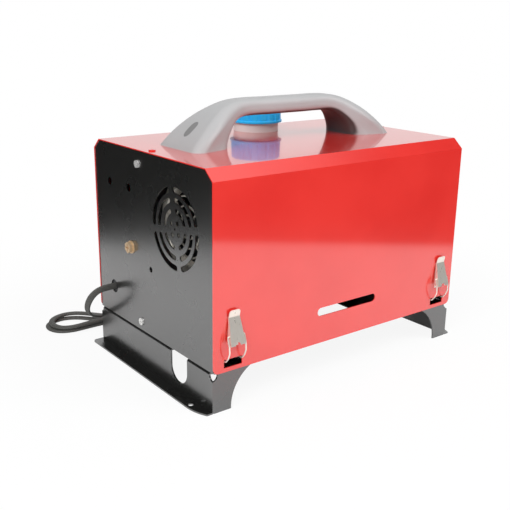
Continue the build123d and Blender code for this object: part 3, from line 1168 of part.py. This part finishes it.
run_join = tuple((a + b) / 2 for a, b in zip(LEAD_ROUTE[-3], LEAD_ROUTE[-2]))
hank_turns = [hank_point((step + 0.5) / HANK_STEPS) for step in range(HANK_TURNS * HANK_STEPS + 1)]
hank_route = [run_join, *LEAD_ROUTE[-2:], *hank_turns, *TAIL]
print(f"hank: least gap to itself {least_self_gap(hank_route, 4 * CORD_D):.2f}")

with BuildPart() as cord_clip:
    with Locations((-PLATE_IN, CORD_Y, CORD_Z)):
        Box(CLIP_DEPTH, CLIP_WIDTH, CLIP_HEIGHT, align=(Align.MIN, Align.CENTER, Align.CENTER))
    fillet(cord_clip.edges().filter_by(Axis.X), radius=3)
save(cord_clip, "cord_clip")

save(cord_tube([*LEAD_ROUTE[:-2], run_join]), "power_cord_run")
save(cord_tube(hank_route), "power_cord_hank")

with BuildPart() as cord_plug:
    tail_plane = Plane(origin=TAIL[-1], x_dir=(0, 0, 1), z_dir=Vector(TAIL[-1]) - Vector(TAIL[-2]))
    with BuildSketch(tail_plane) as end:
        RectangleRounded(PLUG_HEIGHT, PLUG_WIDTH, 2)
    extrude(end.sketch, amount=PLUG_LENGTH)
save(cord_plug, "cord_plug")

with BuildPart() as cord_tie:
    tie_place = Location((*HANK_TIE, 0.05), (0, 0, HANK_HEADING))
    halves = range(1, 2 * HANK_TURNS + 1)
    beside_tie = [(half + side / HANK_STEPS) / 2 for half in halves for side in (-1, 1)]
    strands_wide = 2 * max(abs(hank_plan(turns)[1]) for turns in beside_tie) + CORD_D + 2 * TIE_GAP
    strands_high = HANK_PITCH + CORD_D + 2 * TIE_GAP
    with Locations(tie_place):
        Box(TIE_WIDTH, strands_wide + 2 * TIE_SHEET, strands_high + 2 * TIE_SHEET, align=STANDING)
    with Locations(tie_place * Location((0, 0, TIE_SHEET))):
        Box(2 * TIE_WIDTH, strands_wide, strands_high, align=STANDING, mode=Mode.SUBTRACT)
save(cord_tie, "cord_tie")
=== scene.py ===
"""Looks of a portable diesel air heater: red hood, black folded ends, cord in a hank.

Metres, in the part's own frame: +Z up, the front is -Y, the cold-air end is -X.
"""
import math

import bpy
from mathutils import Matrix, Vector


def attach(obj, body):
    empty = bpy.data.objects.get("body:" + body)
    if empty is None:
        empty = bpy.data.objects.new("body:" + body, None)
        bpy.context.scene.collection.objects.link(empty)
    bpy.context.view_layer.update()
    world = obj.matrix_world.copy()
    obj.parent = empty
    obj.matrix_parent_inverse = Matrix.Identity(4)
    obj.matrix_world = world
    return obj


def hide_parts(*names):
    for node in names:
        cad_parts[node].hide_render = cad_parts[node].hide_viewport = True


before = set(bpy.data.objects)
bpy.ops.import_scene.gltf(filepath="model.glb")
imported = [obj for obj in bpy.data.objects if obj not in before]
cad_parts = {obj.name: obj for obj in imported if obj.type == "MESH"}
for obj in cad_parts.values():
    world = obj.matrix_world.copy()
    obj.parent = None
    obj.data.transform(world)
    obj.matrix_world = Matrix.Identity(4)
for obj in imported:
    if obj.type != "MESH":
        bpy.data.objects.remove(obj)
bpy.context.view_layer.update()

# ---------------------------------------------------------------- camera
# A short telephoto lens a little higher than the handle, in front of the cold-air end.
# Its place and turn were worked out from the straight edges of the hood and the round
# grille.
CAMERA_PLACE = (-0.64648, -0.78888, 0.43041)
CAMERA_YAW, CAMERA_DOWN, CAMERA_ROLL = [math.radians(angle) for angle in (52.431, 16.970, 0.773)]
PICTURE_WIDTH, FOCAL_PIXELS, SENSOR = 510, 781.80, 36.0

camera = bpy.data.objects.new("camera", bpy.data.cameras.new("camera"))
bpy.context.collection.objects.link(camera)
camera.data.sensor_width = SENSOR
camera.data.lens = SENSOR * FOCAL_PIXELS / PICTURE_WIDTH
look = Vector((
    math.cos(CAMERA_DOWN) * math.cos(CAMERA_YAW),
    math.cos(CAMERA_DOWN) * math.sin(CAMERA_YAW),
    -math.sin(CAMERA_DOWN),
))
level = look.cross(Vector((0, 0, 1))).normalized()
upright = level.cross(look)
across = level * math.cos(CAMERA_ROLL) + upright * math.sin(CAMERA_ROLL)
upwards = upright * math.cos(CAMERA_ROLL) - level * math.sin(CAMERA_ROLL)
turn = Matrix((across, upwards, -look)).transposed().to_4x4()
camera.matrix_world = Matrix.Translation(CAMERA_PLACE) @ turn
bpy.context.scene.camera = camera

# ---------------------------------------------------------------- power lead
# A flat twin lead in a dark matt jacket, with a moulded plug.  It leaves the cold-air end
# on edge through a clipped hole, turns flat as it drops, and is folded into a hank of two
# loops held by a tie.  The route and the hank are laid out in millimetres.
LEAD_WIDTH, LEAD_THICKNESS = 0.0086, 0.0038
SECTION_POINTS = 20
HOLE_Y, HOLE_Z = 94.6, 88.6
LEAD_ROUTE = [
    (-197.7, HOLE_Y, HOLE_Z), (-211.0, HOLE_Y, HOLE_Z), (-222.5, 95.7, 86.7), (-230.6, 99.8, 78.8),
    (-233.0, 107.3, 67.0), (-229.5, 118.5, 53.5), (-219.0, 132.0, 41.0), (-204.0, 147.0, 30.5),
    (-183.0, 159.5, 22.5), (-163.0, 165.5, 19.0),
]
LEAD_TILTS = (90, 90, 88, 76, 58, 44, 32, 20, 10, 0)
HANK_TIE, HANK_HEADING = (-160.0, 174.0), math.radians(150.0)
HANK_TURNS, HANK_STEPS = 2, 24
HANK_LOOPS = ((91.0, 50.0, -1.0), (95.0, 46.0, -5.0))  # reach, half width and lean of each loop
HANK_BACK = (78.0, 42.0, 0.0)                          # the same for the loops behind the tie
HANK_PITCH, HANK_WAIST, HANK_BASE = 6.7, 2.0, 4.15
BOTTOM_SETTLES, LAYER_SETTLES = 1.9, 2.1
TAIL = [(-131.0, 169.5, HANK_BASE), (-112.0, 174.5, HANK_BASE), (-93.0, 182.0, HANK_BASE)]


def hank_point(turns):
    """A point after so many turns, each of which starts at the tie and goes behind first."""
    phase = 2 * math.pi * turns + math.pi / 2
    whole = min(int(turns), HANK_TURNS - 1)
    along, aside = math.cos(phase), math.sin(phase)
    reach, half_width, lean = HANK_LOOPS[whole] if along > 0 else HANK_BACK
    swell = math.sin(math.pi / 2 * along) ** 2
    out = reach * along
    off = aside * (HANK_WAIST + (half_width - HANK_WAIST) * swell) + lean * swell
    sunk = min(max(4 * (turns - int(turns)) - 1, 0), 1)  # in the second quarter of each turn
    layer = max(HANK_TURNS - int(turns) - sunk, 0)
    settled = swell * (BOTTOM_SETTLES + LAYER_SETTLES * layer)
    x = HANK_TIE[0] + out * math.cos(HANK_HEADING) + off * math.sin(HANK_HEADING)
    y = HANK_TIE[1] + out * math.sin(HANK_HEADING) - off * math.cos(HANK_HEADING)
    return (x, y, HANK_BASE + HANK_PITCH * layer - settled)


hank = [hank_point((step + 0.5) / HANK_STEPS) for step in range(HANK_TURNS * HANK_STEPS + 1)]
lead_points = [Vector(point) / 1000 for point in (*LEAD_ROUTE, *hank, *TAIL)]
lead_tilts = [math.radians(tilt) for tilt in LEAD_TILTS] + [0.0] * (len(hank) + len(TAIL))

section = bpy.data.curves.new("lead_section", "CURVE")
section.dimensions = "2D"
outline = section.splines.new("POLY")
outline.points.add(SECTION_POINTS - 1)
outline.use_cyclic_u = True
core_offset = LEAD_WIDTH / 2 - LEAD_THICKNESS / 2
for index, point in enumerate(outline.points):
    angle = 2 * math.pi * index / SECTION_POINTS
    side = math.copysign(core_offset, math.cos(angle)) + LEAD_THICKNESS / 2 * math.cos(angle)
    point.co = (side, LEAD_THICKNESS / 2 * math.sin(angle), 0, 1)
section_object = bpy.data.objects.new("lead_section", section)

lead_curve = bpy.data.curves.new("power_lead", "CURVE")
lead_curve.dimensions = "3D"
spline = lead_curve.splines.new("NURBS")
spline.points.add(len(lead_points) - 1)
for point, spot, tilt in zip(spline.points, lead_points, lead_tilts):
    point.co, point.tilt = (*spot, 1), tilt
spline.order_u = 3
spline.use_endpoint_u = True
lead_curve.resolution_u = 8
lead_curve.twist_mode = "Z_UP"
lead_curve.bevel_mode = "OBJECT"
lead_curve.bevel_object = section_object
lead_curve.use_fill_caps = True
power_lead = bpy.data.objects.new("power_lead", lead_curve)
bpy.context.collection.objects.link(power_lead)


class Shade:
    """A socket among one material's nodes.  Arithmetic on it adds Math nodes."""

    MIX_FACTOR, MIX_FROM, MIX_TO, MIX_COLOUR = 0, 6, 7, 2  # the Mix node's colour sockets

    def __init__(self, tree, socket):
        self.tree, self.socket = tree, socket

    def node(self, kind, settings, inputs, output=0):
        """Add any other node: its settings first, then the values or links of its sockets."""
        added = self.tree.nodes.new(kind)
        for name, value in settings.items():
            setattr(added, name, value)
        for key, value in inputs.items():
            if isinstance(value, Shade):
                self.tree.links.new(value.socket, added.inputs[key])
            else:
                added.inputs[key].default_value = value
        return Shade(self.tree, added.outputs[output])

    def math(self, operation, *values):
        return self.node("ShaderNodeMath", {"operation": operation}, dict(enumerate(values)))

    def __add__(self, other):
        return self.math("ADD", self, other)

    def __radd__(self, other):
        return self.math("ADD", other, self)

    def __sub__(self, other):
        return self.math("SUBTRACT", self, other)

    def __rsub__(self, other):
        return self.math("SUBTRACT", other, self)

    def __mul__(self, other):
        return self.math("MULTIPLY", self, other)

    def __rmul__(self, other):
        return self.math("MULTIPLY", other, self)

    def ramp(self, low, high):
        """0 below low, 1 above high and smooth between."""
        limits = {"Value": self, "From Min": low, "From Max": high}
        return self.node("ShaderNodeMapRange", {"interpolation_type": "SMOOTHSTEP"}, limits)

    def part(self, axis):
        """The X, Y or Z of a place or a direction."""
        return self.node("ShaderNodeSeparateXYZ", {}, {"Vector": self}, axis)

    def noise(self, scale, detail=3.0, roughness=0.5):
        """Noise at a place, with so many lumps to the metre."""
        lumps = {"Vector": self, "Scale": scale, "Detail": detail, "Roughness": roughness}
        return self.node("ShaderNodeTexNoise", {}, lumps)

    def tint(self, deep, pale):
        """Mix two colours by this value."""
        deep, pale = [tone if isinstance(tone, Shade) else (*tone, 1) for tone in (deep, pale)]
        tones = {self.MIX_FACTOR: self, self.MIX_FROM: deep, self.MIX_TO: pale}
        return self.node("ShaderNodeMix", {"data_type": "RGBA"}, tones, self.MIX_COLOUR)


def finish(name, plain):
    """A new material with plain values on its shader; gives it, the shader and its place."""
    material = bpy.data.materials.new(name)
    material.use_nodes = True
    tree = material.node_tree
    shader = tree.nodes["Principled BSDF"]
    for socket, value in plain.items():
        shader.inputs[socket].default_value = value
    return material, shader, Shade(tree, tree.nodes.new("ShaderNodeTexCoord").outputs["Object"])


def feed(shader, socket, value):
    """Lead a value that varies over the surface into one of the shader's sockets."""
    value.tree.links.new(value.socket, shader.inputs[socket])


def bumpy(shader, height, depth, strength):
    """Feed the shader a bump from a height between 0 and 1."""
    relief = {"Strength": strength, "Distance": depth, "Height": height}
    feed(shader, "Normal", height.node("ShaderNodeBump", {}, relief))


def mottled(name, plain, scale, deep, pale, detail=3.0):
    """A finish whose colour drifts between two tones; gives it, its shader and the drift."""
    material, shader, place = finish(name, plain)
    drift = place.noise(scale, detail)
    feed(shader, "Base Color", drift.tint(deep, pale))
    return material, shader, drift


def coat_with(material, *nodes):
    """Give CAD nodes one finish."""
    for node in nodes:
        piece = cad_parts[node]
        piece.data.materials.clear()
        piece.data.materials.append(material)


JACKET_DEEP, JACKET_PALE = (0.055, 0.055, 0.051), (0.098, 0.096, 0.088)
jacket, jacket_shader, place = finish("lead_jacket", {"Roughness": 0.55, "Specular IOR Level": 0.5})
weave = place.noise(scale=1400.0, detail=2.0)
feed(jacket_shader, "Base Color", weave.ramp(0.3, 0.7).tint(JACKET_DEEP, JACKET_PALE))
bumpy(jacket_shader, weave, depth=0.0003, strength=0.6)
lead_curve.materials.append(jacket)
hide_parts("power_cord_run", "power_cord_hank")
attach(power_lead, "chassis")

dark_plastic, _, _ = mottled(
    "dark_plastic", {"Roughness": 0.5}, scale=800.0, deep=(0.012, 0.012, 0.013), pale=(0.03, 0.03, 0.032)
)
coat_with(dark_plastic, "cord_clip", "cord_plug", "cord_tie")

# ---------------------------------------------------------------- hood
# Folded steel sheet in glossy red enamel: a front, a top and a back in one piece, with a
# slope along each long edge.  Two red screws hold its top to the end plates.
ENAMEL_DEEP, ENAMEL_BRIGHT = (0.74, 0.024, 0.018), (0.80, 0.032, 0.024)
enamel, enamel_shader, place = finish("red_enamel", {
    "Roughness": 0.22, "Specular IOR Level": 0.5,
    "Coat Weight": 1.0, "Coat Roughness": 0.05, "Coat IOR": 1.8,
})
patches = place.noise(scale=9.0)
feed(enamel_shader, "Base Color", patches.ramp(0.3, 0.7).tint(ENAMEL_DEEP, ENAMEL_BRIGHT))
orange_peel = place.noise(scale=420.0, detail=2.0)
bumpy(enamel_shader, orange_peel, depth=0.00012, strength=0.25)
coat_with(enamel, "cover", "cover_screws")

# ---------------------------------------------------------------- black steelwork
# End plates, foot brackets and floor pan: steel sheet, punched, folded and sprayed with a
# satin black powder.  Bright screws and nuts join their flanges.
POWDER_DEEP, POWDER_PALE = (0.003, 0.003, 0.003), (0.009, 0.009, 0.008)
powder, powder_shader, place = finish("black_powder_coat", {
    "Specular IOR Level": 0.9, "Coat Weight": 1.0, "Coat Roughness": 0.20, "Coat IOR": 2.0,
})
grain = place.noise(scale=900.0, detail=4.0, roughness=0.6)
blotches = place.noise(scale=14.0, detail=4.0)
feed(powder_shader, "Base Color", grain.ramp(0.25, 0.75).tint(POWDER_DEEP, POWDER_PALE))
feed(powder_shader, "Roughness", 0.22 + 0.12 * blotches)
bumpy(powder_shader, grain, depth=0.0002, strength=0.5)
coat_with(
    powder, "end_plate_left", "end_plate_right", "foot_bracket_left", "foot_bracket_right", "base_pan"
)

plated, plated_shader, swirl = mottled(
    "plated_screws", {"Metallic": 0.65}, scale=600.0, deep=(0.82, 0.82, 0.81), pale=(0.94, 0.93, 0.91)
)
feed(plated_shader, "Roughness", 0.20 + 0.20 * swirl)
coat_with(plated, "case_screws")

# ---------------------------------------------------------------- carrying handle
# One grey moulding in a fine matt texture, with painted shade where it faces down or towards
# the cold-air end.  A darker grey plug covers the bolt in each of its two legs.
SHELL_DEEP, SHELL_PALE = (0.40, 0.40, 0.405), (0.45, 0.45, 0.455)
PAINTED_SHADE_TONE, PAINTED_SHADE_LIMITS = (0.05, 0.045, 0.045), (0.45, 0.85)
grey, grey_shader, place = finish("grey_moulding", {"Roughness": 0.42})
# Painted shade: faces turned down or towards the cold-air end are tinted near black by their direction,
# standing in for the shadow under the handle.
facing = place.node("ShaderNodeTexCoord", {}, {}, "Normal")
painted_shade_mask = (0 - facing.part("X") - facing.part("Z")).ramp(*PAINTED_SHADE_LIMITS)
shell = place.noise(scale=25.0).tint(SHELL_DEEP, SHELL_PALE)
feed(grey_shader, "Base Color", painted_shade_mask.tint(shell, PAINTED_SHADE_TONE))
bumpy(grey_shader, place.noise(scale=1500.0), depth=0.00015, strength=0.35)
coat_with(grey, "handle")

plug_plastic, _, _ = mottled(
    "plug_plastic", {"Roughness": 0.45}, scale=40.0, deep=(0.19, 0.19, 0.19), pale=(0.23, 0.23, 0.23)
)
coat_with(plug_plastic, "handle_plugs")

# ---------------------------------------------------------------- latches
# Four nickel-plated toggle latches: a base riveted to the hood, a pressed lever and a wire
# bail.  The wire guard behind the grille and the handle's bolts are plated the same way.
nickel, nickel_shader, place = finish("bright_nickel", {"Metallic": 0.68})
drawn_down = place.node("ShaderNodeMapping", {}, {"Vector": place, "Scale": (1.0, 1.0, 0.12)})
scuffs = drawn_down.noise(scale=420.0, detail=4.0, roughness=0.55)
feed(nickel_shader, "Base Color", scuffs.tint((0.84, 0.79, 0.70), (0.93, 0.89, 0.82)))
feed(nickel_shader, "Roughness", 0.24 + 0.10 * scuffs)
coat_with(nickel, "latch_bases", "inlet_guard", "handle_bolts")
for corner in ("front_left", "front_right", "back_left", "back_right"):
    coat_with(nickel, "latch_lever_" + corner, "latch_bail_" + corner)

# ---------------------------------------------------------------- filler and tank
# A bright blue screw cap with finger flutes sits on a black rubber seal over a white collar.
# The tank below is blown in milky plastic, and a filter of the same plastic hangs on its
# black rubber lines.
blue, _, _ = mottled(
    "blue_cap", {"Roughness": 0.32}, scale=30.0, deep=(0.014, 0.46, 0.94), pale=(0.024, 0.54, 1.0)
)
coat_with(blue, "fuel_cap")
white, _, _ = mottled(
    "white_collar", {"Roughness": 0.35}, scale=40.0, deep=(0.78, 0.78, 0.76), pale=(0.84, 0.84, 0.82)
)
coat_with(white, "filler_collar")
milky, _, _ = mottled(
    "tank_plastic", {"Roughness": 0.45}, scale=20.0, deep=(0.66, 0.66, 0.60), pale=(0.74, 0.74, 0.69)
)
coat_with(milky, "fuel_tank", "fuel_filter")
rubber, _, _ = mottled(
    "black_rubber", {"Roughness": 0.7}, scale=900.0, deep=(0.010, 0.010, 0.010), pale=(0.022, 0.022, 0.022)
)
coat_with(rubber, "cap_seal", "fuel_lines")

# ---------------------------------------------------------------- partition, stand and bolt
# Zinc-coated sheet carries the tank, the pump and the heater inside the case.  The pump's
# clamp hangs on a brass-coloured bolt, whose head shows on the cold-air end.
zinc, zinc_shader, spangle = mottled(
    "zinc_sheet", {"Metallic": 1.0}, scale=60.0, deep=(0.45, 0.46, 0.47), pale=(0.60, 0.61, 0.62), detail=4.0
)
feed(zinc_shader, "Roughness", 0.3 + 0.2 * spangle)
coat_with(zinc, "partition", "tank_straps", "heater_stand", "pump_clamp")
brass, brass_shader, tarnish = mottled(
    "brass_bolt", {"Metallic": 0.7}, scale=400.0, deep=(0.58, 0.38, 0.20), pale=(0.90, 0.70, 0.48)
)
feed(brass_shader, "Roughness", 0.22 + 0.25 * tarnish)
coat_with(brass, "pump_bolt")

# ---------------------------------------------------------------- heater
# Black moulded jackets, blower and outlet around a cast alloy heat exchanger, a steel
# burner and steel pipes.  Most of it shows only through the slots.
moulding, _, _ = mottled(
    "black_moulding", {"Roughness": 0.45}, scale=500.0, deep=(0.012, 0.012, 0.013), pale=(0.028, 0.028, 0.03)
)
coat_with(
    moulding, "jacket_upper", "jacket_lower", "fan_impeller", "blower_motor", "control_unit",
    "outlet_duct", "outlet_collar", "outlet_nozzle",
)
casting, casting_shader, sand = mottled(
    "cast_alloy", {"Metallic": 1.0}, scale=700.0, deep=(0.42, 0.42, 0.43), pale=(0.56, 0.56, 0.57)
)
feed(casting_shader, "Roughness", 0.45 + 0.2 * sand)
coat_with(casting, "heat_exchanger", "combustion_housing")
steel, steel_shader, streaks = mottled(
    "pipe_steel", {"Metallic": 1.0}, scale=300.0, deep=(0.40, 0.39, 0.38), pale=(0.54, 0.53, 0.52)
)
feed(steel_shader, "Roughness", 0.25 + 0.2 * streaks)
coat_with(
    steel, "burner", "exhaust_pipe", "intake_pipe", "motor_shaft", "fuel_pump", "combustion_impeller"
)

# ---------------------------------------------------------------- control panel
# A bezel on the warm-air end, in the same black moulding as the heater's jackets.  It
# holds a dark display window and four grey rubber keys.
coat_with(moulding, "control_panel")
window, _, _ = mottled(
    "display_window", {"Roughness": 0.08}, scale=50.0, deep=(0.006, 0.008, 0.012), pale=(0.010, 0.012, 0.018)
)
coat_with(window, "display_lens")
key_rubber, _, _ = mottled(
    "key_rubber", {"Roughness": 0.5}, scale=700.0, deep=(0.12, 0.125, 0.13), pale=(0.16, 0.165, 0.17)
)
coat_with(key_rubber, "button_power", "button_down", "button_up", "button_set")

# ---------------------------------------------------------------- studio
# White paper on a dark table, which ends a little outside the picture on the two near
# sides.  A white wall stands behind it and a soft box hangs overhead in a dim room, and two
# large soft lamps light the front.  The gloss on the heater shows all of it.
FLOOR_HALF, PAPER_WHITE, TABLE_SHEEN, MIRRORED_MATT = 3.0, 0.88, 0.02, 0.9
NEAR_SHOWN, SHADOW_ENDS = 0.90, (0.3, 0.7)
LEFT_SLANT, LEFT_EDGE, LEFT_BLUR = 1.0, -0.965, 0.08
FRONT_SLANT, FRONT_EDGE, FRONT_BLUR = 0.78, -0.857, 0.06
CORNERS = [(FLOOR_HALF * x, FLOOR_HALF * y, 0) for x, y in ((-1, -1), (1, -1), (1, 1), (-1, 1))]
WALL_WAY, WALL_SHINE, WALL_LIMITS = (0.61, 0.79, 0.0), 0.80, (0.55, 0.95)
BOX_SHINE, BOX_LIMITS = 0.75, (0.66, 0.84)
ROOM_SHINE, ROOM_LIGHT = 0.04, 0.55
HEATER_MIDDLE = (0, 0, 0.1)


def rays(tree, name):
    """1 for the rays of one kind and 0 for the others."""
    return Shade(tree, tree.nodes.new("ShaderNodeLightPath").outputs[name])


sheet = bpy.data.meshes.new("paper")
sheet.from_pydata(CORNERS, [], [(0, 1, 2, 3)])
floor = bpy.data.objects.new("paper", sheet)
bpy.context.collection.objects.link(floor)
paper, paper_shader, place = finish("paper", {
    "Base Color": (PAPER_WHITE, PAPER_WHITE, PAPER_WHITE, 1), "Roughness": 1.0, "Specular IOR Level": 0.0,
})
floor_x, floor_y = place.part("X"), place.part("Y")
from_left = (floor_x - LEFT_SLANT * floor_y).ramp(LEFT_EDGE - LEFT_BLUR, LEFT_EDGE + LEFT_BLUR)
from_front = (floor_y - FRONT_SLANT * floor_x).ramp(FRONT_EDGE - FRONT_BLUR, FRONT_EDGE + FRONT_BLUR)
covered = from_left * from_front
distance = place.node("ShaderNodeVectorMath", {"operation": "LENGTH"}, {0: place}, "Value")
mirrored, seen = rays(place.tree, "Is Glossy Ray"), rays(place.tree, "Is Camera Ray")
shown = seen + mirrored * (TABLE_SHEEN + (1 - TABLE_SHEEN) * covered)
glow = place.node("ShaderNodeEmission", {}, {"Color": shown})
seen_glow = NEAR_SHOWN + (1 - NEAR_SHOWN) * distance.ramp(*SHADOW_ENDS)
glowing = seen * seen_glow + mirrored * (1 - MIRRORED_MATT * covered)
lit_paper = Shade(place.tree, paper_shader.outputs[0])
mixed = place.node("ShaderNodeMixShader", {}, {0: glowing, 1: lit_paper, 2: glow})
place.tree.links.new(mixed.socket, place.tree.nodes["Material Output"].inputs["Surface"])
sheet.materials.append(paper)

world = bpy.data.worlds.new("room")
bpy.context.scene.world = world
world.use_nodes = True
tree = world.node_tree
way = Shade(tree, tree.nodes.new("ShaderNodeTexCoord").outputs["Generated"])
to_wall = way.node("ShaderNodeVectorMath", {"operation": "DOT_PRODUCT"}, {0: way, 1: WALL_WAY}, "Value")
wall, soft_box = to_wall.ramp(*WALL_LIMITS), way.part("Z").ramp(*BOX_LIMITS)
seen = rays(tree, "Is Camera Ray") + rays(tree, "Is Transmission Ray")
mirrored = rays(tree, "Is Glossy Ray")
shine = mirrored * (ROOM_SHINE + WALL_SHINE * wall + BOX_SHINE * soft_box)
room = seen + shine + ROOM_LIGHT * (1 - seen) * (1 - mirrored)
tree.links.new(room.socket, tree.nodes["Background"].inputs["Color"])


def lamp(name, stand, size, power):
    """A square soft lamp that points at the middle of the heater."""
    data = bpy.data.lights.new(name, "AREA")
    data.size, data.energy = size, power
    light = bpy.data.objects.new(name, data)
    bpy.context.collection.objects.link(light)
    light.location = stand
    towards = Vector(HEATER_MIDDLE) - Vector(stand)
    light.rotation_euler = towards.to_track_quat("-Z", "Y").to_euler()


lamp("key_lamp", stand=(1.0, -1.7, 2.0), size=1.4, power=32.0)
lamp("fill_lamp", stand=(-1.8, -0.9, 1.6), size=1.2, power=32.0)

bpy.context.scene.view_settings.view_transform = "Standard"
